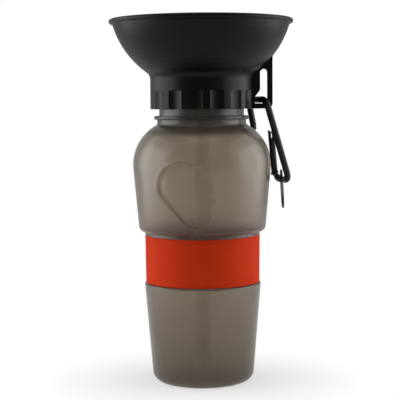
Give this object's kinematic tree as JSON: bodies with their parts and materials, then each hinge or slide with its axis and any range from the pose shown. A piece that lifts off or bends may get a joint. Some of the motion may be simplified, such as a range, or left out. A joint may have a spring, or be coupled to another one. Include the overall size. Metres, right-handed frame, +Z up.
{
  "type": "travel water bottle for dogs",
  "caption": "Squeeze bottle with a black drinking bowl as its cap, an orange grip band round the waist and a carabiner on a bracket.",
  "frame": {"origin": "centre of the foot's ring, on the surface the bottle stands on", "axes": "+Z up along the bottle's axis, +X towards the bracket and the carabiner, -Y towards the front"},
  "size_m": [0.1124, 0.1124, 0.2225],
  "materials": {
    "smoky_plastic": "translucent smoky grey, satin",
    "band_rubber": "satin orange-red soft plastic",
    "black_plastic": "satin-gloss black",
    "seal_rubber": "soft, matte",
    "tube_plastic": "translucent, satin",
    "black_metal": "satin black",
    "steel": "satin",
    "brass": "turned"
  },
  "bodies": {
    "bottle": {"bottle": "smoky_plastic", "grip_band": "band_rubber"},
    "neck_seal": {"neck_seal": "seal_rubber"},
    "bowl_cap": {"bowl_cap": "black_plastic", "dip_tube": "tube_plastic"},
    "carabiner": {"carabiner_frame": "black_metal", "gate_rivet": "steel"},
    "gate": {"carabiner_gate": "black_metal", "latch_pin": "steel", "gate_plunger": "brass", "gate_spring": "steel"},
    "key_ring": {"key_ring": "black_metal"}
  },
  "joints": [
    {"name": "cap_lift", "type": "slide", "parent": "bottle", "child": "neck_seal", "axis": [0, 0, 1], "range_m": [0, 0.0075]},
    {"name": "cap_turn", "type": "hinge", "parent": "neck_seal", "child": "bowl_cap", "pos_m": [0, 0, 0.1857], "axis": [0, 0, 1], "range_deg": [0, 540]},
    {"name": "carabiner_swing", "type": "hinge", "parent": "bowl_cap", "child": "carabiner", "pos_m": [0.0364, 0, 0.1734], "axis": [0.3907, -0.9205, 0], "range_deg": [0, 80]},
    {"name": "gate_hinge", "type": "hinge", "parent": "carabiner", "child": "gate", "pos_m": [0.04558, 0.0153, 0.12762], "axis": [-0.8779, -0.3726, -0.3007], "range_deg": [0, 47]},
    {"name": "ring_swing", "type": "hinge", "parent": "carabiner", "child": "key_ring", "pos_m": [0.04982, 0.00841, 0.12381], "axis": [0.3907, -0.9205, 0], "range_deg": [-15, 15]}
  ],
  "couplings": [
    {"joint": "cap_lift", "follows": "cap_turn", "m_per_rad": 0.00079577}
  ]
}
